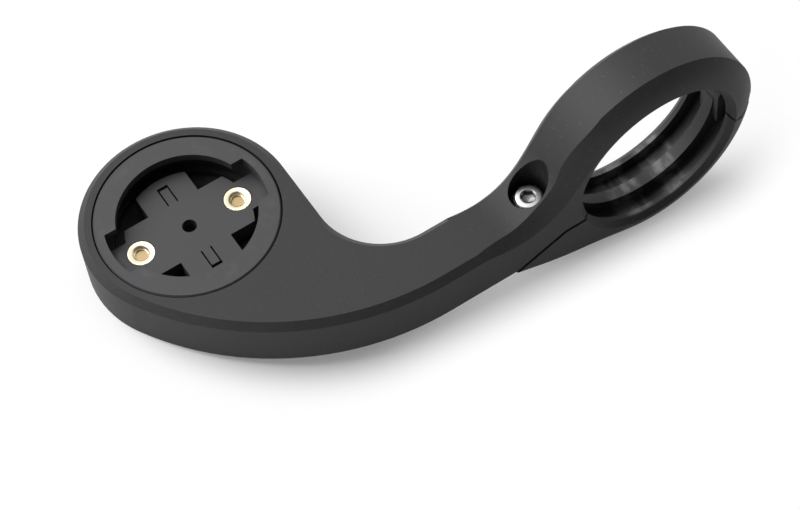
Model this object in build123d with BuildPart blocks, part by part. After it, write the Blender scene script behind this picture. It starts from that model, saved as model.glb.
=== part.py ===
from build123d import *
from math import acos, asin, atan2, cos, degrees, hypot, radians, sin, sqrt, tan
import os

# Out-front bicycle computer mount, in millimetres.
# Origin: centre of the handlebar bore.  +Y runs along the handlebar, +X forward to the
# computer, +Z up, square to the face of the round socket.

# Handlebar clamp ring
bar_d = 31.8                # handlebar held by the clamp
ring_wall = 6.2             # bore to crown
ring_w = 13.6               # width along the handlebar
crown_w = 8.3               # flat crown left between the two side bevels
bevel_reach = 5.1           # how far the side bevel runs in from the crown
bevel_start_x = 38.0        # where the arm's chamfer starts to widen into that bevel
bevel_full_angle = 60       # and where on the ring it is full, in degrees above +X
bevel_round = 0.1           # how much the bevel's face bulges as it widens
bore_chamfer = 1.0
centre_rib_w = 2.4          # ribs in the bore, with a groove on each side of the middle one
groove_w = 3.7
groove_depth = 2.9

# Arm and head
head_x = 75.7               # centre of the round head
head_y = -31.0
head_wall = 2.6             # round the socket's cup
top_z = 1.5                 # flat top of arm and head above the bore axis
arm_depth = 10.6
arm_waist_w = 11.4          # narrowest width of the arm
near_bend_r = 55.0          # long outside curve of the arm
inner_bend_r = 13.0         # tight inside curve next to the head
flare_r = 32.0              # arm widening back to the ring
root_r = 13.6               # hollow between the arm's top and the ring
top_chamfer = 1.3

# Bevel on its way from the arm's chamfer to the ring: its reach, and the crown's edge from y = 0
root_bevel_reach = 2.2      # where the arm's flat top ends
root_crown_edge = 5.0
hollow_bevel_reach = 3.2    # halfway up the hollow
hollow_crown_edge = 4.5

# Split line at the front of the ring
seam_drop = 4.9             # below the bore axis
seam_knee_x = 20.3
seam_tip_x = 31.0
seam_gap = 0.9
tongue_tip_t = 0.5
tongue_tip_bevel = 0.5      # reach of the strap's bevel at the tip of the tongue
tongue_mid_bevel = 1.5      # and halfway along it

# Hinge at the back of the ring
pin_d = 2.0
pin_l = 9.8
pin_inset = 0.4             # pin end below the side of its ear
pin_chamfer = 0.15
hinge_z = 0.6               # hinge axis above the bore axis
hinge_inset = 0.2           # and inward from the middle of the wall
knuckle_r = 2.8
knuckle_w = 5.0
hinge_side_gap = 0.3
hinge_swing_gap = 0.35
pin_running_gap = 0.05
heel_cut = 0.7              # strap's heel below the knuckle, clear of the ring's crown
heel_run = 0.7              # and past the hinge axis, so that it stays clear when open

# M3 clamp bolt and captive nut
bolt_x = 23.9
bolt_y = 0.4
bolt_head_top_z = 1.3
bolt_d = 3.0
bolt_l = 10.0
bolt_head_d = 5.5
bolt_head_h = 3.0
bolt_head_chamfer = 0.4
bolt_hex = 2.5
bolt_hex_depth = 1.5
well_d = 7.2                # counterbore over the bolt head
bolt_hole_gap = 0.08
tongue_hole_gap = 0.2
tongue_hole_travel = 1.6    # the tongue's hole is a slot, long towards the tip
nut_flats = 5.5
nut_h = 2.4
nut_seat_z = -8.3
nut_pocket_gap = 0.05
thread_gap = 0.05
tip_chamfer = 0.3           # at the tip of bolt and screws

# Round quarter-turn socket
socket_d = 33.7
socket_gap = 0.25
socket_t = 7.0
lip_t = 1.6
lip_reach = 2.4             # lip over the channel
channel_wall = 1.65         # socket's outside to the channel
tab_slot_wall = 1.85        # socket's outside to the end of a tab slot
tab_slot_w = 9.4
socket_floor_drop = 3.7
cross_l_w = 11.6            # solid cross in the socket floor: bar towards the tab slots
cross_s_w = 10.3            # and bar towards the lips
cross_gap = 3.5             # open slot between the cross and the channel's wall
bridge_w = 6.8              # joins the cross to the wall at each tab slot
centre_hole_d = 2.7
detent_w = 2.2
detent_slit = 0.6           # at the finger's free end
detent_side_slit = 0.3      # and along its sides
detent_l = 4.2
detent_inset = 1.7          # end of the finger from the end of the cross
socket_chamfer = 0.25

# Brass inserts in the socket floor and the screws that hold it from below
insert_inset = 1.7          # insert's centre from the end of the cross
insert_d = 5.2
insert_bore_d = 2.5         # inside the thread, above the screw's tip
knurl_count = 20
knurl_r = 0.17
screw_d = 3.0
screw_l = 6.0
screw_head_d = 5.6
screw_cone_angle = 90
screw_hex = 2.0
screw_hex_depth = 1.0
screw_hole_gap = 0.1
cup_ledge = 3.1             # ring of the cup's floor that carries the socket
cup_recess_depth = 1.6
cup_pad_d = 8.4
cup_centre_pad_d = 6.0

# Sizes that follow from those above
channel_d = socket_d - 2 * channel_wall
mouth_d = channel_d - 2 * lip_reach
tab_slot_d = socket_d - 2 * tab_slot_wall
cross_d = channel_d - 2 * cross_gap
insert_spacing = cross_d - 2 * insert_inset
cup_recess_d = socket_d + 2 * socket_gap - 2 * cup_ledge
head_r = socket_d / 2 + socket_gap + head_wall
bar_r = bar_d / 2
ring_r = bar_r + ring_wall
half_w = ring_w / 2
bevel_drop = half_w - crown_w / 2
bottom_z = top_z - arm_depth
far_y = half_w - arm_waist_w
hinge_x = hinge_inset - (bar_r + ring_r) / 2
head_left_x = head_x - head_r
outside = 4.0 * ring_r      # longer than any cut needs to be
bevel_overcut = 2.2         # how far a bevel's cutter stands out past the edges
bevel_runout = 0.5          # and how much of it keeps to the bevel's face

# Hollow between arm and ring: its centre, and the angle where it meets the ring
root_z = top_z + root_r
root_x = sqrt((ring_r + root_r) ** 2 - root_z ** 2)
root_angle = degrees(atan2(root_z, root_x))

# Long outside curve: tangent to the arm's straight side and, from inside, to the head
near_bend_y = half_w - near_bend_r
near_bend_x = head_x - sqrt((near_bend_r - head_r) ** 2 - (head_y - near_bend_y) ** 2)
near_bend_angle = degrees(atan2(head_y - near_bend_y, head_x - near_bend_x))

# Flare of the far side, from the waist out to the ring's full width
flare_rise = half_w + far_y
flare_run = sqrt(2 * flare_r * flare_rise - flare_rise ** 2)
flare_start_x = ring_r + flare_run

# Tongue of the strap: its top follows the seam, its underside is tangent to the ring
seam_slope = Vector(seam_tip_x - seam_knee_x, 0, bottom_z + seam_drop).normalized()
seam_down = Vector(seam_slope.Z, 0, -seam_slope.X)
tongue_top = Vector(seam_tip_x, 0, bottom_z) + seam_down * seam_gap
tongue_foot = tongue_top + seam_down * tongue_tip_t
tongue_angle = degrees(atan2(tongue_foot.Z, tongue_foot.X)) - degrees(
    acos(ring_r / hypot(tongue_foot.X, tongue_foot.Z))
)
tongue_root = Vector(ring_r * cos(radians(tongue_angle)), 0, ring_r * sin(radians(tongue_angle)))


def far_edge(x):
    """Far side of the arm and ring, as a Y value, at a given X."""
    if x >= flare_start_x:
        return far_y
    if x <= ring_r:
        return -half_w
    return far_y - flare_r + sqrt(flare_r ** 2 - (flare_start_x - x) ** 2)


def bevel_plane(x, z, angle, side_y):
    """Section plane at the edge of a side: its x runs out of the crown, its y out of the side."""
    crown_out = Vector(cos(radians(angle)), 0, sin(radians(angle)))
    side_out = Vector(0, 1 if side_y > 0 else -1, 0)
    return Plane(origin=(x, side_y, z), x_dir=crown_out, z_dir=crown_out.cross(side_out))


def bevel_pull(reach, drop):
    """Point that pulls a bevel's face out of flat, from the corner that the bevel takes off."""
    width = hypot(reach, drop)
    pull = max(0, 2 * bevel_round * (width - top_chamfer * sqrt(2)))
    return (pull * drop / width - reach / 2, pull * reach / width - drop / 2)


def bevel_section(plane, reach, drop):
    """What a bevel takes off: reach along the side, drop along the crown."""
    side_end, crown_end = Vector(-reach, 0), Vector(0, -drop)
    pull = Vector(*bevel_pull(reach, drop))
    # the rounded face runs a little past both ends, and on from there in straight lines
    past = bevel_runout / hypot(reach, drop)
    before = side_end * (1 + past) ** 2 - pull * (2 * past * (1 + past)) + crown_end * past ** 2
    after = side_end * past ** 2 - pull * (2 * past * (1 + past)) + crown_end * (1 + past) ** 2
    long_pull = pull * (1 + 2 * past * (1 + past)) - (side_end + crown_end) * (past * (1 + past))
    overcut = (crown_end - side_end).normalized() * bevel_overcut
    inner, outer = before - overcut, after + overcut
    with BuildSketch(plane) as section:
        with BuildLine():
            Line(inner, before)
            Bezier(before, long_pull, after)
            Polyline(after, outer, (outer.X, inner.Y), inner)
        make_face()
    return section.sketch


def growing_bevel(stations):
    """Bevel cutter through (x, z, angle, side_y, reach, drop) stations."""
    with BuildPart() as cutter:
        loft([bevel_section(bevel_plane(*s[:4]), s[4], s[5]) for s in stations])
    return cutter.part


def ring_bevel(start_angle, sweep, side_y):
    """Full bevel of the ring's side, from start_angle on."""
    start = radians(start_angle)
    plane = bevel_plane(ring_r * cos(start), ring_r * sin(start), start_angle, side_y)
    turn_axis = Axis((0, 0, 0), (0, -1 if sweep > 0 else 1, 0))
    with BuildPart() as cutter:
        revolve(bevel_section(plane, bevel_reach, bevel_drop), turn_axis, abs(sweep))
    return cutter.part


def ring_station(angle, side_y, share):
    """Station on the ring, with a share of the full reach and the full drop at the crown."""
    a = radians(angle)
    reach = share * bevel_reach
    drop = bevel_drop
    return (ring_r * cos(a), ring_r * sin(a), angle, side_y, reach, drop)


# Outline of ring, arm and head seen from above, and the same outline as a tall prism
with BuildSketch() as plan:
    with BuildLine():
        back_x = -ring_r - 1
        flare_turn = degrees(asin(flare_run / flare_r))
        Line((back_x, half_w), (near_bend_x, half_w))
        CenterArc((near_bend_x, near_bend_y), near_bend_r, 90, near_bend_angle - 90)
        CenterArc((head_x, head_y), head_r, near_bend_angle, -(near_bend_angle + 180))
        Line((head_left_x, head_y), (head_left_x, far_y - inner_bend_r))
        CenterArc((head_left_x - inner_bend_r, far_y - inner_bend_r), inner_bend_r, 0, 90)
        Line((head_left_x - inner_bend_r, far_y), (flare_start_x, far_y))
        CenterArc((flare_start_x, far_y - flare_r), flare_r, 90, flare_turn)
        Polyline((ring_r, -half_w), (back_x, -half_w), (back_x, half_w))
    make_face()

with BuildPart() as plan_prism:
    extrude(plan.sketch, amount=outside, both=True)

# Barrel: the whole ring before it is split, used to trim the hinge's ears and knuckle
with BuildPart() as barrel:
    with BuildSketch(Plane.XY):
        pull_x, pull_y = bevel_pull(bevel_reach, bevel_drop)
        with BuildLine():
            Polyline(
                (ring_r - bevel_reach, -half_w), (bar_r, -half_w), (bar_r, half_w),
                (ring_r - bevel_reach, half_w),
            )
            Bezier(
                (ring_r - bevel_reach, half_w), (ring_r + pull_x, half_w + pull_y),
                (ring_r, crown_w / 2),
            )
            Line((ring_r, crown_w / 2), (ring_r, -crown_w / 2))
            Bezier(
                (ring_r, -crown_w / 2), (ring_r + pull_x, -half_w - pull_y),
                (ring_r - bevel_reach, -half_w),
            )
        make_face()
    revolve(axis=Axis.Y)

# Everything taken out of the bore: the bar itself, two grooves and the edge chamfers
with BuildPart() as bore_cut:
    with BuildSketch(Plane.XY):
        with BuildLine():
            edge = bar_r + bore_chamfer
            Polyline(
                (0, half_w + 1), (edge + 1, half_w + 1), (bar_r, half_w - bore_chamfer),
                (bar_r, bore_chamfer - half_w), (edge + 1, -half_w - 1), (0, -half_w - 1),
                close=True,
            )
        make_face()
        with Locations((bar_r, 0)):
            with GridLocations(0, centre_rib_w + groove_w, 1, 2):
                Rectangle(2 * groove_depth, groove_w)
    revolve(axis=Axis.Y)

# Bevels of the upper half: they leave the arm's chamfer and grow to the ring's full bevel
hollow_mid = radians(270 - (90 - root_angle) / 2)
hollow_x = root_x + root_r * cos(hollow_mid)
hollow_z = root_z + root_r * sin(hollow_mid)
arm_bevels = []
for side in (1, -1):
    stations = []
    for x, z, angle, reach, crown_y in (
        (bevel_start_x, top_z, 90, top_chamfer, half_w - top_chamfer),
        (root_x, top_z, 90, root_bevel_reach, root_crown_edge),
        (hollow_x, hollow_z, (90 + root_angle) / 2, hollow_bevel_reach, hollow_crown_edge),
    ):
        side_y = half_w if side > 0 else far_edge(x)
        lost = 0 if side > 0 else (half_w + far_edge(x)) * 0.75
        stations.append((x, z, angle, side_y, reach, side * side_y - crown_y + lost))
    stations.append(ring_station(root_angle, side * half_w, 0.75))
    stations.append(ring_station(root_angle + 17, side * half_w, 0.9))
    stations.append(ring_station(bevel_full_angle, side * half_w, 1.0))
    arm_bevels.append(growing_bevel(stations))
    arm_bevels.append(ring_bevel(bevel_full_angle, 181 - bevel_full_angle, side * half_w))

# Bevels of the lower half, growing from the tip of the tongue
strap_bevels = []
for side in (1, -1):
    tongue_run = tongue_foot - tongue_root
    stations = []
    for along, reach, drop in (
        (1.03, tongue_tip_bevel, 0.8 * tongue_tip_bevel),
        (0.75, tongue_mid_bevel - 0.5, 0.8 * (tongue_mid_bevel - 0.5)),
        (0.45, tongue_mid_bevel + 0.5, 0.75 * (tongue_mid_bevel + 0.5)),
        (0.2, 0.65 * bevel_reach, 0.83 * bevel_drop),
    ):
        spot = tongue_root + tongue_run * along
        side_y = half_w if side > 0 else far_edge(spot.X)
        stations.append((spot.X, spot.Z, tongue_angle, side_y, reach, drop))
    stations.append(ring_station(tongue_angle, side * half_w, 0.85))
    stations.append(ring_station(tongue_angle - 20, side * half_w, 1.0))
    strap_bevels.append(growing_bevel(stations))
    strap_bevels.append(ring_bevel(tongue_angle - 20, -(161 + tongue_angle), side * half_w))

# Upper half of the clamp, with the part of the arm whose chamfer widens
with BuildPart() as clamp_block:
    with BuildSketch(Plane.XZ):
        seam_angle = degrees(asin(seam_drop / bar_r))
        with BuildLine():
            CenterArc((root_x, root_z), root_r, 270, root_angle - 90)
            CenterArc((0, 0), ring_r, root_angle, 180 - root_angle)
            Line((-ring_r, 0), (-bar_r, 0))
            CenterArc((0, 0), bar_r, 180, -(180 + seam_angle))
            Polyline(
                (bar_r * cos(radians(seam_angle)), -seam_drop), (seam_knee_x, -seam_drop),
                (seam_tip_x, bottom_z), (bevel_start_x, bottom_z), (bevel_start_x, top_z),
                (root_x, top_z),
            )
        make_face()
    extrude(amount=half_w, both=True)
    add(plan_prism.part, mode=Mode.INTERSECT)
    add(arm_bevels, mode=Mode.SUBTRACT)

# Hinge ears on the upper half, one each side of the strap's knuckle
ear_inner_y = knuckle_w / 2 + hinge_side_gap
ear_w = half_w - ear_inner_y
with BuildPart() as ears:
    for side in (1, -1):
        with BuildSketch(Plane.XZ.offset(-side * (ear_inner_y + ear_w / 2))):
            with Locations((hinge_x, hinge_z)):
                Circle(knuckle_r)
        extrude(amount=ear_w / 2, both=True)
    add(barrel.part, mode=Mode.INTERSECT)

# Arm, head and upper half of the clamp: one moulding
with BuildPart() as arm_body:
    with BuildSketch(Plane.XY.offset(bottom_z)):
        add(plan.sketch)
        with Locations((bevel_start_x, 0)):
            Rectangle(outside, outside, align=(Align.MAX, Align.CENTER), mode=Mode.SUBTRACT)
    extrude(amount=arm_depth)
    outline_top = arm_body.edges().group_by(Axis.Z)[-1].sort_by(Axis.X)[1:]
    chamfer(outline_top, top_chamfer)
    add(clamp_block.part)
    add(ears.part)
    add(bore_cut.part, mode=Mode.SUBTRACT)
    # room for the strap's knuckle to swing
    with BuildSketch(Plane.XZ):
        with Locations((hinge_x, hinge_z)):
            Circle(knuckle_r + hinge_swing_gap)
    extrude(amount=ear_inner_y, both=True, mode=Mode.SUBTRACT)
    # hinge pin hole, open on the far side only
    pin_near_y = half_w - bevel_drop / 2 - pin_inset - pin_d / 4
    with BuildSketch(Plane.XZ.offset(-pin_near_y)):
        with Locations((hinge_x, hinge_z)):
            Circle(pin_d / 2)
    extrude(amount=2 * ring_w, mode=Mode.SUBTRACT)
    # well and hole for the clamp bolt
    bolt_seat_z = bolt_head_top_z - bolt_head_h
    with BuildSketch(Plane.XY.offset(bolt_seat_z)):
        with Locations((bolt_x, bolt_y)):
            Circle(well_d / 2)
    extrude(amount=outside, mode=Mode.SUBTRACT)
    with BuildSketch(Plane.XY.offset(bolt_seat_z)):
        with Locations((bolt_x, bolt_y)):
            Circle(bolt_d / 2 + bolt_hole_gap)
    extrude(amount=-outside, mode=Mode.SUBTRACT)
    # cup for the socket, with a shallow recess under its open quadrants
    with BuildSketch(Plane.XY.offset(top_z)):
        with Locations((head_x, head_y)):
            Circle(socket_d / 2 + socket_gap)
    extrude(amount=-socket_t, mode=Mode.SUBTRACT)
    with BuildSketch(Plane.XY.offset(top_z - socket_t)):
        with Locations((head_x, head_y)):
            Circle(cup_recess_d / 2)
            Circle(cup_centre_pad_d / 2, mode=Mode.SUBTRACT)
            with GridLocations(insert_spacing, 0, 2, 1):
                Circle(cup_pad_d / 2, mode=Mode.SUBTRACT)
    extrude(amount=-cup_recess_depth, mode=Mode.SUBTRACT)
    # countersunk holes for the socket screws
    with Locations(Plane((head_x, head_y, bottom_z), x_dir=(1, 0, 0), z_dir=(0, 0, -1))):
        with GridLocations(insert_spacing, 0, 2, 1):
            CounterSinkHole(
                screw_d / 2 + screw_hole_gap, screw_head_d / 2, depth=arm_depth,
                counter_sink_angle=screw_cone_angle,
            )
arm_body.part.label = "arm_body"

# Strap: lower half of the clamp, with its tongue under the arm
with BuildPart() as clamp_strap:
    with BuildSketch(Plane.XZ):
        lip_z = -seam_drop - seam_gap
        with BuildLine():
            lip_angle = degrees(asin(lip_z / bar_r))
            knee = Vector(seam_knee_x, 0, -seam_drop) + seam_down * seam_gap
            knee_x = knee.X + seam_slope.X / seam_slope.Z * (lip_z - knee.Z)
            CenterArc((0, 0), bar_r, 180, 180 + lip_angle)
            Polyline(
                (bar_r * cos(radians(lip_angle)), lip_z), (knee_x, lip_z),
                (tongue_top.X, tongue_top.Z), (tongue_foot.X, tongue_foot.Z),
                (tongue_root.X, tongue_root.Z),
            )
            CenterArc((0, 0), ring_r, tongue_angle, -180 - tongue_angle)
            Line((-ring_r, 0), (-bar_r, 0))
        make_face()
    extrude(amount=half_w, both=True)
    add(plan_prism.part, mode=Mode.INTERSECT)
    add(strap_bevels, mode=Mode.SUBTRACT)
    add(bore_cut.part, mode=Mode.SUBTRACT)
    # clear the ears and the heel behind the hinge
    with BuildSketch(Plane.XZ):
        with Locations((hinge_x, hinge_z)):
            Circle(knuckle_r + hinge_swing_gap)
        with Locations((hinge_x + heel_run, hinge_z)):
            Rectangle(
                outside, 2 * (knuckle_r + heel_cut), align=(Align.MAX, Align.CENTER)
            )
    extrude(amount=half_w, both=True, mode=Mode.SUBTRACT)
    with BuildSketch(Plane.XZ):
        with Locations((hinge_x, hinge_z)):
            Circle(knuckle_r)
        with Locations((hinge_x + heel_run, hinge_z)):
            Rectangle(
                knuckle_r - heel_run, 2 * (knuckle_r + heel_cut), align=(Align.MIN, Align.MAX)
            )
    extrude(amount=knuckle_w / 2, both=True)
    # running hole for the hinge pin
    with BuildSketch(Plane.XZ):
        with Locations((hinge_x, hinge_z)):
            Circle(pin_d / 2 + pin_running_gap)
    extrude(amount=half_w, both=True, mode=Mode.SUBTRACT)
    # slot for the bolt and hex pocket for the nut, open underneath
    with BuildSketch(Plane.XY.offset(-seam_drop)):
        with Locations((bolt_x + tongue_hole_travel / 2, bolt_y)):
            SlotCenterToCenter(tongue_hole_travel, bolt_d + 2 * tongue_hole_gap)
    extrude(amount=-outside, mode=Mode.SUBTRACT)
    with BuildSketch(Plane.XY.offset(nut_seat_z)):
        with Locations((bolt_x, bolt_y)):
            RegularPolygon(nut_flats / 2 + nut_pocket_gap, 6, major_radius=False, rotation=30)
    extrude(amount=-outside, mode=Mode.SUBTRACT)
clamp_strap.part.label = "clamp_strap"

# Hinge pin, pressed into the ears
with BuildPart() as hinge_pin:
    with BuildSketch(Plane.XZ.offset(-pin_near_y)):
        with Locations((hinge_x, hinge_z)):
            Circle(pin_d / 2)
    extrude(amount=pin_l)
    chamfer(hinge_pin.edges(), pin_chamfer)
hinge_pin.part.label = "hinge_pin"

# M3 socket-head clamp bolt
with BuildPart() as clamp_bolt:
    with BuildSketch(Plane.XY.offset(bolt_seat_z)):
        with Locations((bolt_x, bolt_y)):
            Circle(bolt_head_d / 2)
    extrude(amount=bolt_head_h)
    chamfer(clamp_bolt.edges().group_by(Axis.Z)[-1], bolt_head_chamfer)
    with BuildSketch(Plane.XY.offset(bolt_seat_z)):
        with Locations((bolt_x, bolt_y)):
            Circle(bolt_d / 2)
    extrude(amount=-bolt_l)
    chamfer(clamp_bolt.edges().group_by(Axis.Z)[0], tip_chamfer)
    with BuildSketch(Plane.XY.offset(bolt_head_top_z)):
        with Locations((bolt_x, bolt_y)):
            RegularPolygon(bolt_hex / 2, 6, major_radius=False)
    extrude(amount=-bolt_hex_depth, mode=Mode.SUBTRACT)
clamp_bolt.part.label = "clamp_bolt"

# M3 nut, seated in the tongue's pocket
with BuildPart() as clamp_nut:
    with BuildSketch(Plane.XY.offset(nut_seat_z)):
        with Locations((bolt_x, bolt_y)):
            RegularPolygon(nut_flats / 2, 6, major_radius=False, rotation=30)
            Circle(bolt_d / 2 + thread_gap, mode=Mode.SUBTRACT)
    extrude(amount=-nut_h)
clamp_nut.part.label = "clamp_nut"

# Round quarter-turn socket
floor_z = top_z - socket_floor_drop
with BuildPart() as computer_socket:
    with BuildSketch(Plane.XY.offset(top_z - socket_t)):
        with Locations((head_x, head_y)):
            Circle(socket_d / 2)
    extrude(amount=socket_t)
    chamfer(computer_socket.edges().group_by(Axis.Z)[-1], socket_chamfer)
    # mouth with its two tab slots, and the channel under the lip
    with BuildSketch(Plane.XY.offset(floor_z)):
        with Locations((head_x, head_y)):
            Circle(mouth_d / 2)
            Circle(tab_slot_d / 2)
            Rectangle(tab_slot_d, tab_slot_w, mode=Mode.INTERSECT)
            Circle(mouth_d / 2)
    extrude(amount=socket_t, mode=Mode.SUBTRACT)
    with BuildSketch(Plane.XY.offset(floor_z)):
        with Locations((head_x, head_y)):
            Circle(channel_d / 2)
    extrude(amount=socket_floor_drop - lip_t, mode=Mode.SUBTRACT)
    # floor: a cross held at the tab slots, open under the lips and in its four corners
    with BuildSketch(Plane.XY.offset(floor_z)):
        with Locations((head_x, head_y)):
            Circle(channel_d / 2)
            Circle(cross_d / 2, mode=Mode.SUBTRACT)
            Rectangle(socket_d, bridge_w, mode=Mode.SUBTRACT)
    extrude(amount=-socket_t, mode=Mode.SUBTRACT)
    with BuildSketch(Plane.XY.offset(floor_z)):
        with Locations((head_x, head_y)):
            Circle(cross_d / 2)
            Rectangle(socket_d, cross_l_w, mode=Mode.SUBTRACT)
            Rectangle(cross_s_w, socket_d, mode=Mode.SUBTRACT)
            Circle(centre_hole_d / 2)
            with GridLocations(insert_spacing, 0, 2, 1):
                Circle(insert_d / 2)
    extrude(amount=-socket_t, mode=Mode.SUBTRACT)
    # slits that free a springy detent finger on each side
    with BuildSketch(Plane.XY.offset(floor_z)):
        with Locations((head_x, head_y)):
            with PolarLocations((cross_d - detent_l) / 2 - detent_inset, 2, start_angle=90):
                Rectangle(detent_l, detent_w)
                with Locations((-detent_slit, 0)):
                    Rectangle(detent_l, detent_w - 2 * detent_side_slit, mode=Mode.SUBTRACT)
    extrude(amount=-socket_t, mode=Mode.SUBTRACT)
computer_socket.part.label = "computer_socket"

# Knurled brass inserts, and the countersunk screws that reach them through the cup
inserts = []
screws = []
for side, x in (("left", head_x - insert_spacing / 2), ("right", head_x + insert_spacing / 2)):
    with BuildPart() as insert:
        with BuildSketch(Plane.XY.offset(top_z - socket_t)):
            with Locations((x, head_y)):
                Circle(insert_d / 2)
                Circle(insert_bore_d / 2, mode=Mode.SUBTRACT)
                with PolarLocations(insert_d / 2, knurl_count):
                    Circle(knurl_r, mode=Mode.SUBTRACT)
        extrude(amount=socket_t - socket_floor_drop)
        # room for the screw
        with BuildSketch(Plane.XY.offset(bottom_z)):
            with Locations((x, head_y)):
                Circle(screw_d / 2 + thread_gap)
        extrude(amount=screw_l + thread_gap, mode=Mode.SUBTRACT)
    insert.part.label = "threaded_insert_" + side
    inserts.append(insert.part)
    with BuildPart() as screw:
        with BuildSketch(Plane.XY.offset(bottom_z)):
            with Locations((x, head_y)):
                Circle(screw_d / 2)
        extrude(amount=screw_l)
        chamfer(screw.edges().group_by(Axis.Z)[-1], tip_chamfer)
        cone_h = (screw_head_d - screw_d) / 2 / tan(radians(screw_cone_angle / 2))
        with Locations((x, head_y, bottom_z + cone_h / 2)):
            Cone(screw_head_d / 2, screw_d / 2, cone_h)
        with BuildSketch(Plane.XY.offset(bottom_z)):
            with Locations((x, head_y)):
                RegularPolygon(screw_hex / 2, 6, major_radius=False)
        extrude(amount=screw_hex_depth, mode=Mode.SUBTRACT)
    screw.part.label = "socket_screw_" + side
    screws.append(screw.part)

os.makedirs("parts", exist_ok=True)
pieces = [
    arm_body.part, clamp_strap.part, hinge_pin.part, clamp_bolt.part, clamp_nut.part,
    computer_socket.part, *inserts, *screws,
]
for piece in pieces:
    export_step(piece, "parts/" + piece.label + ".step")
    print(piece.label, round(piece.volume, 1), "mm3")
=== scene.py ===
# %% [markdown]
# # An out-front bicycle computer mount
# The mount is a clamp ring for the handlebar, a sickle-shaped arm and a round head with a
# quarter-turn socket. The moulded parts come from the CAD frame and keep their shape here. This
# lesson gives them their finish, models the small brass and steel parts again with threads and
# knurls, and sets up the floor, light and camera.

# %% Load the frame
import math

import bpy
from mathutils import Matrix, Vector


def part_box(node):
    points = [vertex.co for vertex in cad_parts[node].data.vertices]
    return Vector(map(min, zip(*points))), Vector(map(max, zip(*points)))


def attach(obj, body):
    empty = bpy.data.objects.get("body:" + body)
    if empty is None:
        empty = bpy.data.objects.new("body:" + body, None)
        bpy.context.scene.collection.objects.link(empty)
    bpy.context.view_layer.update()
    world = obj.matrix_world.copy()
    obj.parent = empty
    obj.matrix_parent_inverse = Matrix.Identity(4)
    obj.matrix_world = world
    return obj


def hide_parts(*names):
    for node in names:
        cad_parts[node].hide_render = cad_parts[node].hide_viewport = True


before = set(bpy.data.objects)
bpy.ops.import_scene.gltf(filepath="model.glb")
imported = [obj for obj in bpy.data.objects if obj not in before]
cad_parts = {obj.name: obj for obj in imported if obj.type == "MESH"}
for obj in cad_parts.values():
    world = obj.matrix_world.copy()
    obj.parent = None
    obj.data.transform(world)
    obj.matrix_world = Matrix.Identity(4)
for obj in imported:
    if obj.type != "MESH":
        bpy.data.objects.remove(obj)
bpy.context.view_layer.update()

MM = 0.001
print("pieces of the frame:", sorted(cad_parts))

# %% [markdown]
# ## Camera
# The camera stands above the near side of the handlebar and looks down at the socket. Its three
# directions were found from the photograph's ellipses and straight edges, so they are given here
# as they are, not aimed by hand. A long lens keeps the perspective as mild as it is in a product
# photograph.

# %% Camera
IMAGE_WIDTH_PX = 800
FOCAL_LENGTH_PX = 2537.4
SENSOR_WIDTH_MM = 36.0
CAMERA_RIGHT = Vector((-0.83915, 0.54053, -0.06043))
CAMERA_UP = Vector((-0.48792, -0.69904, 0.52275))
CAMERA_BACK = Vector((0.24032, 0.46815, 0.85034))
CAMERA_PLACE = Vector((0.15554, 0.20502, 0.37816))

camera_data = bpy.data.cameras.new("camera")
camera_data.sensor_width = SENSOR_WIDTH_MM
camera_data.lens = FOCAL_LENGTH_PX * SENSOR_WIDTH_MM / IMAGE_WIDTH_PX
camera_data.clip_start = 0.01
camera = bpy.data.objects.new("camera", camera_data)
camera_turn = Matrix((CAMERA_RIGHT, CAMERA_UP, CAMERA_BACK)).transposed()
camera.matrix_world = Matrix.Translation(CAMERA_PLACE) @ camera_turn.to_4x4()
bpy.context.scene.collection.objects.link(camera)
bpy.context.scene.camera = camera
bpy.context.scene.view_settings.view_transform = "Standard"
print("lens in mm:", round(camera_data.lens, 1))

# %% [markdown]
# ## Shader maths
# A finish is a tree of shader nodes. Written one by one, the nodes hide the idea, so one small
# class stands for a node's output and lets it be added, multiplied and compared like a number.
# Each operation adds one node.

# %% Shader maths
class Wire:
    """One output of a shader node, with arithmetic."""

    def __init__(self, finish, output):
        self.finish = finish
        self.output = output

    def __add__(self, other):
        return self.finish.maths("ADD", self, other)

    __radd__ = __add__

    def __mul__(self, other):
        return self.finish.maths("MULTIPLY", self, other)

    __rmul__ = __mul__

    def __sub__(self, other):
        return self.finish.maths("SUBTRACT", self, other)

    def __rsub__(self, other):
        return self.finish.maths("SUBTRACT", other, self)

    def __pow__(self, power):
        return self.finish.maths("POWER", self, power)

    def __abs__(self):
        return self.finish.maths("ABSOLUTE", self)

    def most(self, other):
        return self.finish.maths("MAXIMUM", self, other)

    def step_up(self, low, high):
        """0 below low and 1 above high, with a soft step between them."""
        soft = {"interpolation_type": "SMOOTHSTEP"}
        ends = {"Value": self, "From Min": low, "From Max": high}
        return self.finish.node("ShaderNodeMapRange", "Result", soft, ends)


def length(across, along):
    """Length of a flat vector."""
    return (across * across + along * along) ** 0.5


# %% [markdown]
# ## A finish
# Every finish here ends in one shader, most often the Principled one. The class below keeps its
# tree and adds any node from its type, settings and inputs. Short names stand for what each finish
# needs: the place on the object, noise, a mix of two colours, and a bump. Numbers that stay the
# same all over are set straight on the shader.

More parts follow.
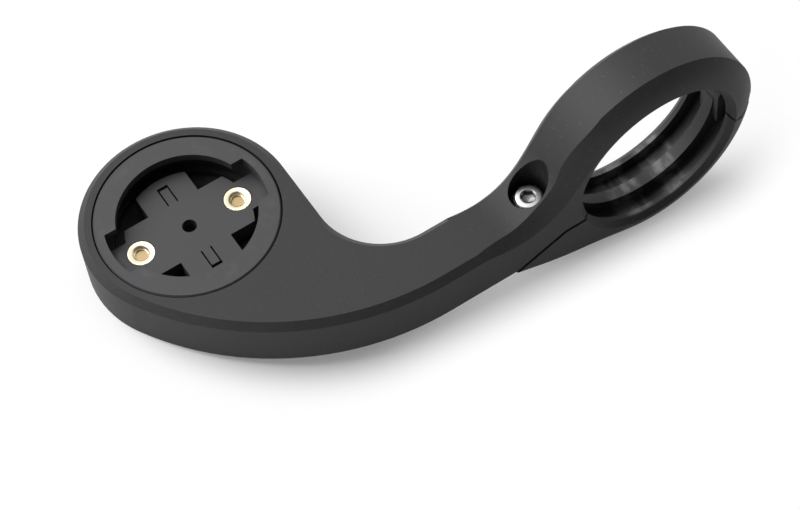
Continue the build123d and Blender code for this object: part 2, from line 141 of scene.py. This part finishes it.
# %% A finish
class Finish:
    """A material, or the world, that is written as expressions."""

    def __init__(self, name, home="materials", end="Principled BSDF"):
        self.data = getattr(bpy.data, home).new(name)
        self.data.use_nodes = True
        self.tree = self.data.node_tree
        self.shader = self.tree.nodes[end]

    def plug(self, socket, value):
        """Give a socket a link or a plain value."""
        if isinstance(value, Wire):
            self.tree.links.new(value.output, socket)
        else:
            socket.default_value = value

    def node(self, kind, output, settings, values):
        """Add a node: its settings first, then the values and links of its inputs."""
        node = self.tree.nodes.new(kind)
        for setting, value in settings.items():
            setattr(node, setting, value)
        for name, value in values.items():
            self.plug(node.inputs[name], value)
        return Wire(self, node.outputs[output])

    def maths(self, operation, *values):
        return self.node("ShaderNodeMath", 0, {"operation": operation}, dict(enumerate(values)))

    def place(self):
        """The place on the object, in metres."""
        return self.node("ShaderNodeTexCoord", "Object", {}, {})

    def place_parts(self):
        where = {"Vector": self.place()}
        return [self.node("ShaderNodeSeparateXYZ", axis, {}, where) for axis in "XYZ"]

    def noise(self, grain_mm, detail=2.0, stretch=None, roughness=0.5):
        """Noise from 0 to 1, with lumps about grain_mm across."""
        where = self.place()
        if stretch:
            scaled = {"Vector": where, "Scale": stretch}
            where = self.node("ShaderNodeMapping", "Vector", {}, scaled)
        lumps = {"Scale": 1 / (grain_mm * MM), "Detail": detail, "Roughness": roughness}
        return self.node("ShaderNodeTexNoise", "Fac", {}, {"Vector": where, **lumps})

    def mix(self, factor, low, high):
        """Colour low where the factor is 0, high where it is 1."""
        low, high = (tone if isinstance(tone, Wire) else (*tone, 1.0) for tone in (low, high))
        return self.node("ShaderNodeMix", 2, {"data_type": "RGBA"}, {0: factor, 6: low, 7: high})

    def bump(self, height, depth_mm):
        relief = {"Height": height, "Distance": depth_mm * MM, "Strength": 0.5}
        return self.node("ShaderNodeBump", "Normal", {}, relief)

    def ray(self, kind):
        """1 for rays of one kind, such as Camera or Glossy."""
        return self.node("ShaderNodeLightPath", f"Is {kind} Ray", {}, {})

    def set(self, **values):
        for name, value in values.items():
            self.plug(self.shader.inputs[name.replace("_", " ")], value)
        return self.data


def give_finish(piece, material):
    """Put a material in the slot that a piece has, or in a new one."""
    if piece.material_slots:
        piece.material_slots[0].material = material
    else:
        piece.data.materials.append(material)


# %% [markdown]
# ## Moulded nylon
# The arm, the head and the clamp are injection moulded in black glass-filled nylon. The mould is
# spark-eroded, so the surface has a fine even grain. The glass makes the colour drift a little
# over a few millimetres, and a few specks of it show. Inside the strap two patches are paler:
# painted light, where light falls in through the bore. They are masked by the angle round the
# bore, which is why the place is turned into an angle first, and broken up by noise. The well over
# the bolt is painted darker, as painted shade in the recess.

# %% Moulded nylon
NYLON_SHINE = 0.25
NYLON_DARK = (0.024, 0.024, 0.0243)
NYLON_LIGHT = (0.039, 0.039, 0.0395)
NYLON_FLECK = (0.080, 0.080, 0.081)
# the colour of the painted light in two patches inside the strap
NYLON_PAINTED_LIGHT = (0.19, 0.19, 0.19)
# painted shade for the well over the bolt
NYLON_WELL_SHADE = (0.006, 0.006, 0.006)
# each patch of painted light fades in between its first two angles and out between the last two
LIT_PATCH_ANGLES = ((-125, -119, -106, -99), (-94, -88, -76, -64))


def from_bolt(x, y):
    """How far a place is from the clamp bolt's axis."""
    low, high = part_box("clamp_bolt")
    middle = (low + high) / 2
    return length(x - middle.x, y - middle.y)


def moulded_nylon():
    finish = Finish("moulded_nylon")
    x, y, z = finish.place_parts()
    drift = finish.noise(14, detail=3)
    mottle = finish.noise(1.6, detail=4, roughness=0.6)
    grain = finish.noise(0.22, detail=2)
    fleck = finish.noise(0.5, detail=1).step_up(0.66, 0.74)

    # painted light: paler patches inside the strap, on the ribs and down to the grooves' floor
    in_bore = 1 - length(x, z).step_up(18.9 * MM, 19.1 * MM)
    inside = in_bore * (1 - abs(y).step_up(5.4 * MM, 6.2 * MM))
    angle = finish.maths("ARCTAN2", z, x) * math.degrees(1) + 7 * (finish.noise(3.0) - 0.5)
    patches = sum(
        angle.step_up(start, full) * (1 - angle.step_up(fading, end))
        for start, full, fading, end in LIT_PATCH_ANGLES
    )
    patch_breakup = finish.noise(1.8, detail=3, stretch=(1, 0.5, 1)).step_up(0.36, 0.66)
    painted_light = inside * patches * (0.15 + 0.85 * patch_breakup)

    # painted shade: the well over the bolt is darkened where the recess lies in shade
    painted_well_shade = 1 - from_bolt(x, y).step_up(3.62 * MM, 3.72 * MM)

    tone = 0.45 * drift + 0.35 * mottle + 0.20 * grain
    colour = finish.mix(tone, NYLON_DARK, NYLON_LIGHT)
    colour = finish.mix(painted_well_shade * (0.6 + 0.3 * drift), colour, NYLON_WELL_SHADE)
    colour = finish.mix(fleck * 0.35, colour, NYLON_FLECK)
    colour = finish.mix(painted_light * 0.7, colour, NYLON_PAINTED_LIGHT)
    return finish.set(
        Base_Color=colour,
        Roughness=0.46 + 0.10 * mottle + 0.06 * drift - 0.10 * painted_light,
        IOR=1.5,
        Specular_IOR_Level=NYLON_SHINE,
        Normal=finish.bump(grain * 0.7 + mottle * 0.5 - fleck * 0.2, 0.02),
    )


nylon = moulded_nylon()
for node in ("arm_body", "clamp_strap"):
    give_finish(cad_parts[node], nylon)
print("moulded nylon:", len(nylon.node_tree.nodes), "nodes")

# %% [markdown]
# ## The socket's plastic
# The round socket takes the wear of the computer's tabs, so it is a harder plastic, a little paler
# and bluer than the arm, with a satin skin. It is made like the arm's finish with a smaller grain.
# Fine rings round its centre are left from turning the mould's core, and the tabs have rubbed the
# floor in arcs.

# %% The socket's plastic
SOCKET_SHINE = 0.34
SOCKET_DARK = (0.036, 0.036, 0.038)
SOCKET_LIGHT = (0.053, 0.053, 0.056)
SOCKET_RUBBED = (0.080, 0.080, 0.084)
SOCKET_X = 75.7 * MM
SOCKET_Y = -31.0 * MM
RING_PITCH = 0.35 * MM


def socket_plastic():
    finish = Finish("socket_nylon")
    x, y, z = finish.place_parts()
    from_centre = length(x - SOCKET_X, y - SOCKET_Y)
    drift = finish.noise(9, detail=3)
    mottle = finish.noise(1.1, detail=4, roughness=0.6)
    grain = finish.noise(0.16, detail=2)
    rings = finish.maths("SINE", from_centre * (math.tau / RING_PITCH))

    # the arcs lie where the tabs turn, between the floor's cross and the channel's wall
    arc_start = from_centre.step_up(12.9 * MM, 13.4 * MM)
    arc_zone = arc_start * (1 - from_centre.step_up(15.6 * MM, 16.2 * MM))
    arcs = arc_zone * finish.noise(3.0, detail=4).step_up(0.48, 0.66)

    tone = 0.5 * drift + 0.3 * mottle + 0.2 * grain
    colour = finish.mix(tone, SOCKET_DARK, SOCKET_LIGHT)
    colour = finish.mix(arcs * 0.25, colour, SOCKET_RUBBED)
    return finish.set(
        Base_Color=colour,
        Roughness=0.40 + 0.10 * mottle + 0.06 * drift - 0.08 * arcs,
        IOR=1.5,
        Specular_IOR_Level=SOCKET_SHINE,
        Normal=finish.bump(grain * 0.6 + mottle * 0.5 + rings * 0.06, 0.015),
    )


socket_finish = socket_plastic()
give_finish(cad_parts["computer_socket"], socket_finish)
print("socket plastic:", len(socket_finish.node_tree.nodes), "nodes")

# %% [markdown]
# ## Brass and steel
# Four metals are used: yellow brass for the inserts, bright zinc plating on the bolt and nut,
# ground steel for the hinge pin and black-oxide steel for the screws from below. Metal takes its
# look from what it reflects, so the detail is in the roughness: turning marks, fine scratches and
# small tarnished areas. One area of each metal can be given a tone of its own, such as painted
# shade in the bolt's hexagon or the brass that a screw's tip has picked up.

# %% Brass and steel
def turned_metal(
    name, dark, light, stain, roughness, mark_mm, stain_amount=0.5, area=None, area_tone=None
):
    """Metal with fine marks round its axis, stain in small patches and one area of another tone."""
    finish = Finish(name)
    drift = finish.noise(1.8, detail=3)
    marks = finish.noise(mark_mm, detail=3, stretch=(0.25, 0.25, 1.0))
    speck = finish.noise(0.45, detail=3).step_up(0.60, 0.76)
    colour = finish.mix(0.6 * drift + 0.4 * marks, dark, light)
    colour = finish.mix(speck * stain_amount, colour, stain)
    if area:
        colour = finish.mix(area(finish) * (0.7 + 0.3 * drift), colour, area_tone)
    return finish.set(
        Base_Color=colour,
        Metallic=1.0,
        Roughness=roughness + 0.10 * marks + 0.15 * speck,
        Normal=finish.bump(marks + drift * 0.5, 0.0012),
    )


def hexagon_painted_shade(finish):
    """1 inside the bolt's hexagon, where a darker tone is painted as painted shade."""
    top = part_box("clamp_bolt")[1].z
    x, y, z = finish.place_parts()
    near_axis = 1 - from_bolt(x, y).step_up(1.42 * MM, 1.56 * MM)
    return near_axis * (1 - z.step_up(top - 0.40 * MM, top - 0.08 * MM))


def at_tip(finish):
    """1 on the last turns of the screws from below."""
    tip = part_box("socket_screw_left")[1].z
    x, y, z = finish.place_parts()
    return z.step_up(tip - 1.2 * MM, tip - 0.8 * MM)


brass = turned_metal(
    "insert_brass", (0.86, 0.72, 0.46), (0.98, 0.93, 0.76), (0.50, 0.32, 0.14),
    roughness=0.30, mark_mm=0.10, stain_amount=0.35,
)
# the bolt's hexagon gets painted shade, a darker tone in its recess
zinc = turned_metal(
    "bolt_steel", (0.60, 0.60, 0.61), (0.76, 0.76, 0.77), (0.42, 0.42, 0.43),
    roughness=0.30, mark_mm=0.09, stain_amount=0.3, area=hexagon_painted_shade, area_tone=(0.16, 0.16, 0.17),
)
ground = turned_metal(
    "pin_steel", (0.40, 0.40, 0.41), (0.58, 0.58, 0.59), (0.22, 0.21, 0.20),
    roughness=0.30, mark_mm=0.12,
)
oxide = turned_metal(
    "black_steel", (0.035, 0.035, 0.037), (0.075, 0.075, 0.078), (0.16, 0.15, 0.14),
    roughness=0.38, mark_mm=0.15, stain_amount=0.3, area=at_tip, area_tone=(0.46, 0.34, 0.18),
)
give_finish(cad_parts["hinge_pin"], ground)
for node in ("socket_screw_left", "socket_screw_right"):
    give_finish(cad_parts[node], oxide)
print("metals:", [metal.name for metal in (brass, zinc, ground, oxide)])

# %% [markdown]
# ## Turning a part
# A bolt, a nut and an insert are turned parts. The same can be done by hand in edit mode: a circle
# is extruded, scaled and moved again and again along a profile, as if a lathe tool followed it.
# The helper takes the profile as pairs of radius and height in millimetres. A profile that comes
# back to its start is merged into a closed ring, and any other is closed with a face at both ends.

# %% Turning a part
def pick(*parts):
    """Select these parts only, and make the first of them active."""
    bpy.ops.object.select_all(action="DESELECT")
    for part in parts:
        part.select_set(True)
    if parts:
        bpy.context.view_layer.objects.active = parts[0]


def box_mm(node):
    """Lowest and highest corner of a node, in millimetres."""
    return [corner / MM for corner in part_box(node)]


def axis_between(low, high):
    """The x and y of the upright axis in the middle of a box."""
    return ((low.x + high.x) / 2, (low.y + high.y) / 2)


def on_axis(axis, height):
    """The point at a height on an axis, in metres."""
    return Vector((*axis, height)) * MM


def turn_part(name, axis, profile, sides):
    """Extrude a circle along (radius, height) pairs round an upright axis."""
    pick()
    radius, height = profile[0]
    bpy.ops.mesh.primitive_circle_add(
        vertices=sides, radius=radius * MM, fill_type="NOTHING", location=on_axis(axis, height)
    )
    part = bpy.context.object
    part.name = part.data.name = name
    bpy.ops.object.transform_apply()
    bpy.ops.object.mode_set(mode="EDIT")
    bpy.ops.mesh.select_all(action="SELECT")
    if profile[0] != profile[-1]:
        bpy.ops.mesh.edge_face_add()
    for next_radius, next_height in profile[1:]:
        rise = (next_height - height) * MM
        bpy.ops.mesh.extrude_region_move(TRANSFORM_OT_translate={"value": (0, 0, rise)})
        grow = next_radius / radius
        middle = on_axis(axis, next_height)
        bpy.ops.transform.resize(value=(grow, grow, 1), center_override=middle)
        radius, height = next_radius, next_height
    bpy.ops.mesh.select_all(action="SELECT")
    bpy.ops.mesh.remove_doubles(threshold=0.0005 * MM)
    bpy.ops.mesh.normals_make_consistent(inside=False)
    bpy.ops.object.mode_set(mode="OBJECT")
    return part


def select_vertices(part, wanted):
    """Select the vertices of a part for which wanted(place) is true, in edit mode."""
    bpy.ops.object.mode_set(mode="EDIT")
    bpy.ops.mesh.select_all(action="DESELECT")
    bpy.ops.mesh.select_mode(type="VERT")
    bpy.ops.object.mode_set(mode="OBJECT")
    for vertex in part.data.vertices:
        vertex.select = wanted(vertex.co / MM)
    bpy.ops.object.mode_set(mode="EDIT")


def knurl(part, axis, outer_radius, low, high, depth, sides):
    """Press in every second pair of vertices round the rim, so that straight teeth stay."""

    def in_groove(place):
        across, along = place.x - axis[0], place.y - axis[1]
        column = round(math.atan2(along, across) / math.tau % 1.0 * sides) % 4
        on_rim = abs(math.hypot(across, along) - outer_radius) < 0.02
        return on_rim and low < place.z < high and column in (0, 1)

    select_vertices(part, in_groove)
    shrink = 1 - depth / outer_radius
    middle = on_axis(axis, (low + high) / 2)
    bpy.ops.transform.resize(value=(shrink, shrink, 1), center_override=middle)
    bpy.ops.object.mode_set(mode="OBJECT")


def finish_part(part, body, metal, replaced):
    """Give a part its metal, smooth shading and body, and hide the node it stands for."""
    pick(part)
    bpy.ops.object.shade_smooth_by_angle(angle=math.radians(28))
    give_finish(part, metal)
    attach(part, body)
    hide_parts(replaced)
    print(part.name, "has", len(part.data.polygons), "faces")


# %% [markdown]
# ## A screw thread
# A thread is one small triangle carried round and up. The Screw modifier does exactly that: it
# turns the profile round an axis and lifts it by one pitch a turn. A triangle is added as a
# three-sided circle, stood upright at the thread's radius and then swept. For a thread inside a
# hole the triangle points to the axis.

# %% A screw thread
THREAD_PITCH = 0.5


def thread(name, axis, root_radius, crest_radius, low, high):
    """Helical ridge from root to crest radius, between two heights."""
    pick()
    # an equilateral triangle has the thread's 60 degrees; its middle is a third of the depth from
    # the root
    depth = crest_radius - root_radius
    half = abs(depth) / math.sqrt(3)
    bpy.ops.mesh.primitive_circle_add(
        vertices=3, radius=abs(depth) * 2 / 3 * MM, location=((root_radius + depth / 3) * MM, 0, 0),
        rotation=(math.radians(90), math.radians(90 if depth > 0 else -90), 0),
    )
    ridge = bpy.context.object
    ridge.name = ridge.data.name = name
    bpy.ops.object.transform_apply()
    sweep = ridge.modifiers.new("sweep", "SCREW")
    sweep.axis = "Z"
    sweep.angle = math.tau
    sweep.screw_offset = THREAD_PITCH * MM
    sweep.iterations = max(1, int((high - low - 2 * half) / THREAD_PITCH))
    sweep.steps = sweep.render_steps = 40
    sweep.use_merge_vertices = False
    bpy.ops.object.modifier_apply(modifier=sweep.name)
    # close both ends of the ridge and turn its faces out
    bpy.ops.object.mode_set(mode="EDIT")
    bpy.ops.mesh.select_all(action="SELECT")
    bpy.ops.mesh.region_to_loop()
    bpy.ops.mesh.edge_face_add()
    bpy.ops.mesh.select_all(action="SELECT")
    bpy.ops.mesh.normals_make_consistent(inside=False)
    bpy.ops.transform.translate(value=on_axis(axis, low + half))
    bpy.ops.object.mode_set(mode="OBJECT")
    return ridge


def join_parts(name, *parts):
    pick(*parts)
    bpy.ops.object.join()
    parts[0].name = parts[0].data.name = name
    return parts[0]


# %% [markdown]
# ## Brass inserts
# Two brass inserts are pressed into the socket's floor, so that screws from below can hold it. A
# real one is a short tube with a knurled rim, a small countersink at its mouth and an M3 thread.
# It is turned once and then copied, each copy with a mesh of its own.

# %% Brass inserts
INSERT_SIDES = 88
insert_low, insert_high = box_mm("threaded_insert_left")
insert_axis = axis_between(insert_low, insert_high)
insert_radius = (insert_high.x - insert_low.x) / 2
bottom, top = insert_low.z, insert_high.z
insert_profile = [
    (1.34, top - 0.36), (1.56, top - 0.08), (1.72, top), (insert_radius - 0.14, top),
    (insert_radius - 0.06, top - 0.06), (insert_radius, top - 0.18), (insert_radius, bottom + 0.2),
    (insert_radius - 0.15, bottom + 0.02), (1.6, bottom + 0.02), (1.34, bottom + 0.2),
    (1.34, top - 0.36),
]
insert_tube = turn_part("insert_tube", insert_axis, insert_profile, INSERT_SIDES)
for rim, low, high, depth in (
    (insert_radius, bottom + 0.1, top - 0.15, 0.16),
    (insert_radius - 0.06, top - 0.1, top - 0.03, 0.12),
):
    knurl(insert_tube, insert_axis, rim, low, high, depth, INSERT_SIDES)
insert_thread = thread("insert_thread", insert_axis, 1.36, 1.16, bottom + 0.1, top - 0.25)
insert_left = join_parts("brass_insert_left", insert_tube, insert_thread)

pick(insert_left)
bpy.ops.object.duplicate()
insert_right = bpy.context.object
insert_right.name = "brass_insert_right"
right_low, right_high = box_mm("threaded_insert_right")
step_right = (right_low + right_high) / 2 - (insert_low + insert_high) / 2
bpy.ops.transform.translate(value=step_right * MM)
bpy.ops.object.transform_apply()
finish_part(insert_left, "arm", brass, "threaded_insert_left")
finish_part(insert_right, "arm", brass, "threaded_insert_right")

# %% [markdown]
# ## Clamp bolt
# The bolt is an M3 socket-head cap screw. The head has a knurled side and a flat top with a broad
# bevel, and the hexagon is cut by a six-sided prism with the Boolean modifier, as a punch does on
# the real one. The shank is turned to the thread's root, and the thread's ridge is laid round it.

# %% Clamp bolt
BOLT_SIDES = 72
HEAD_HEIGHT = 3.0
HEAD_RADIUS = 2.75
HEXAGON_FLATS = 2.5
HEXAGON_DEPTH = 1.4
PUNCH_POINT = 0.4

bolt_low, bolt_high = box_mm("clamp_bolt")
bolt_axis = axis_between(bolt_low, bolt_high)
bolt_tip, bolt_top = bolt_low.z, bolt_high.z
head_seat = bolt_top - HEAD_HEIGHT
bolt_profile = [
    (0.9, bolt_tip), (1.2, bolt_tip + 0.35), (1.2, head_seat - 0.1), (1.45, head_seat - 0.02),
    (2.6, head_seat + 0.01), (HEAD_RADIUS, head_seat + 0.15), (HEAD_RADIUS, bolt_top - 0.55),
    (2.66, bolt_top - 0.36), (2.34, bolt_top - 0.04), (2.25, bolt_top), (1.55, bolt_top),
]
bolt_core = turn_part("bolt_core", bolt_axis, bolt_profile, BOLT_SIDES)
knurl(bolt_core, bolt_axis, HEAD_RADIUS, head_seat + 0.1, bolt_top - 0.5, 0.07, BOLT_SIDES)


def hexagon_prism(axis, flats, low, high):
    pick()
    bpy.ops.mesh.primitive_cylinder_add(
        vertices=6, radius=flats / math.sqrt(3) * MM, depth=(high - low) * MM,
        location=on_axis(axis, (low + high) / 2),
    )
    bpy.ops.object.transform_apply()
    return bpy.context.object


def carve(part, cutter, operation="DIFFERENCE"):
    """Apply a Boolean with the cutter and throw the cutter away."""
    pick(part)
    boolean = part.modifiers.new("carve", "BOOLEAN")
    boolean.operation = operation
    boolean.solver = "EXACT"
    boolean.object = cutter
    bpy.ops.object.modifier_apply(modifier=boolean.name)
    bpy.data.objects.remove(cutter)


# the punch is a prism with a point at its lower end
punch_low = bolt_top - HEXAGON_DEPTH
punch = hexagon_prism(bolt_axis, HEXAGON_FLATS, punch_low, bolt_top + 0.5)
select_vertices(punch, lambda place: place.z < punch_low + 0.001)
bpy.ops.mesh.extrude_region_move(TRANSFORM_OT_translate={"value": (0, 0, -PUNCH_POINT * MM)})
bpy.ops.transform.resize(value=(0.05, 0.05, 1), center_override=on_axis(bolt_axis, punch_low))
bpy.ops.object.mode_set(mode="OBJECT")
carve(bolt_core, punch)
mouth_profile = [(1.3, bolt_top - 0.2), (1.7, bolt_top + 0.2)]
carve(bolt_core, turn_part("mouth", bolt_axis, mouth_profile, 35))
bolt_thread = thread("bolt_thread", bolt_axis, 1.18, 1.49, bolt_tip + 0.1, head_seat - 0.3)
bolt = join_parts("cap_screw", bolt_core, bolt_thread)
finish_part(bolt, "bolt", zinc, "clamp_bolt")

# %% [markdown]
# ## Captive nut
# The nut sits in a pocket under the strap's tongue. Its corners are turned off at both ends, so a
# hexagonal prism is kept only where it overlaps a turned blank with bevelled rims. The bore and
# its thread are added afterwards.

# %% Captive nut
# no multiple of six, so that the turned corners don't all fall on the hexagon's
NUT_SIDES = 61
BORE_RADIUS = 1.44

nut_low, nut_high = box_mm("clamp_nut")
nut_axis = axis_between(nut_low, nut_high)
nut_bottom, nut_top = nut_low.z, nut_high.z
nut_flats = min(nut_high.x - nut_low.x, nut_high.y - nut_low.y)
blank_radius = nut_flats / math.sqrt(3) + 0.02
nut = hexagon_prism(nut_axis, nut_flats, nut_bottom, nut_top)
blank_profile = [
    (nut_flats / 2 - 0.30, nut_bottom - 0.1), (blank_radius, nut_bottom + 0.32),
    (blank_radius, nut_top - 0.32), (nut_flats / 2 - 0.30, nut_top + 0.1),
]
carve(nut, turn_part("nut_blank", nut_axis, blank_profile, NUT_SIDES), "INTERSECT")
bore_profile = [
    (1.85, nut_bottom - 0.1), (BORE_RADIUS, nut_bottom + 0.3),
    (BORE_RADIUS, nut_top - 0.3), (1.85, nut_top + 0.1),
]
carve(nut, turn_part("nut_bore", nut_axis, bore_profile, NUT_SIDES))
nut_thread = thread("nut_thread", nut_axis, 1.46, 1.25, nut_bottom + 0.15, nut_top - 0.15)
nut = join_parts("hexagon_nut", nut, nut_thread)
finish_part(nut, "strap", zinc, "clamp_nut")

# %% [markdown]
# ## Floor
# Off the bar, the mount rests on the bottom of its ring and the front edge of its head, so it
# leans by about eight degrees. Here the object keeps its own frame and the floor leans instead: a
# plane that touches both places. It is a matt white sheet that fades into plain white. The white
# is mixed in for the camera, and a little of it for reflections. Its share grows over the first
# millimetres from the object's near edge, as the photograph's shadow does. The distance to that
# edge is measured from a straight core with rounded ends.

# %% Floor
FLOOR_SIZE = 6
FLOOR_GAP = 0.03 * MM
FLOOR_WHITE = 0.20
CORE_FROM_X = -10 * MM
CORE_TO_X = 56 * MM
CORE_Y = -33 * MM
CORE_RADIUS = 37 * MM


def stage_plane(name, size, place, rotation, material):
    """A square plane of the studio, which isn't part of the object."""
    pick()
    bpy.ops.mesh.primitive_plane_add(size=size, location=place, rotation=rotation)
    plane = bpy.context.object
    plane.name = name
    bpy.ops.object.transform_apply()
    give_finish(plane, material)
    return plane


def white_paper():
    paper = Finish("floor_paper")
    paper.set(Base_Color=paper.mix(paper.noise(60), (0.89,) * 3, (0.91,) * 3), Roughness=0.9)
    x, y, z = paper.place_parts()
    # painted light: the white share rises away from the object, so painted white ends the floor's
    # shadow
    beside = (x - CORE_TO_X).most(0) + (CORE_FROM_X - x).most(0)
    gap = length(beside, y - CORE_Y) - CORE_RADIUS
    painted_white_fade = FLOOR_WHITE + (1 - FLOOR_WHITE) * gap.step_up(-2 * MM, 10 * MM)
    mirrored = paper.ray("Glossy").most(paper.ray("Transmission"))
    share = paper.ray("Camera") * painted_white_fade + mirrored * FLOOR_WHITE
    glow = paper.node("ShaderNodeEmission", 0, {}, {"Strength": 1.0})
    sheet = Wire(paper, paper.shader.outputs[0])
    both = paper.node("ShaderNodeMixShader", 0, {}, {0: share, 1: sheet, 2: glow})
    paper.plug(paper.tree.nodes["Material Output"].inputs["Surface"], both)
    return paper.data


# the lean at which the ring's radius and the head's lower front corner reach the same plane
ring_radius = -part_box("clamp_strap")[0].z
head_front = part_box("arm_body")[1].x
head_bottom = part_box("arm_body")[0].z
corner_angle = math.atan2(-head_bottom, head_front)
lean = math.asin(ring_radius / math.hypot(head_front, head_bottom)) - corner_angle
floor_up = Vector((-math.sin(lean), 0, math.cos(lean)))
floor_along = Vector((1, 0, math.tan(lean)))
floor_place = floor_up * (-ring_radius - FLOOR_GAP) + floor_along * 0.05
stage_plane("floor", FLOOR_SIZE, floor_place, (0, -lean, 0), white_paper())
print("the floor leans by", round(math.degrees(lean), 2), "degrees")

# %% [markdown]
# ## Light
# The photograph's shadow falls towards the camera and to the right, and the ring's crown is
# brightest on the side of the head. So one large lamp hangs beyond the arm, on the head's side. A
# weaker sky fills in evenly. It is plain white where the camera or a reflection sees it. A dark
# panel on the near side keeps the bevels that face the camera dark, and the camera itself does
# not see it.

# %% Light
KEY_PLACE = Vector((0.66, -0.82, 1.08))
KEY_AIM = Vector((0.03, -0.01, 0.0))
KEY_SIZE = 1.30
KEY_POWER = 26.0
SKY_LIGHT = 0.76
PANEL_SIZE = 3.2
PANEL_PLACE = (0.05, 0.55, 0.80)
PANEL_TILT = math.radians(92)

key_data = bpy.data.lights.new("key_lamp", "AREA")
key_data.shape = "SQUARE"
key_data.size = KEY_SIZE
key_data.energy = KEY_POWER
key_lamp = bpy.data.objects.new("key_lamp", key_data)
key_lamp.location = KEY_PLACE
key_lamp.rotation_euler = (KEY_AIM - KEY_PLACE).to_track_quat("-Z", "Y").to_euler()
bpy.context.scene.collection.objects.link(key_lamp)

sky = Finish("studio", "worlds", "Background")
seen = sky.ray("Camera").most(sky.ray("Glossy")).most(sky.ray("Transmission"))
sky.set(Color=(1.0, 1.0, 1.0, 1.0), Strength=SKY_LIGHT + (1 - SKY_LIGHT) * seen)
bpy.context.scene.world = sky.data

cloth = Finish("panel_cloth")
cloth.set(Base_Color=cloth.mix(cloth.noise(4), (0.03,) * 3, (0.05,) * 3), Roughness=0.95)
panel = stage_plane("dark_panel", PANEL_SIZE, PANEL_PLACE, (PANEL_TILT, 0, 0), cloth.data)
panel.visible_camera = False
print("key lamp", KEY_POWER, "W, sky", SKY_LIGHT)
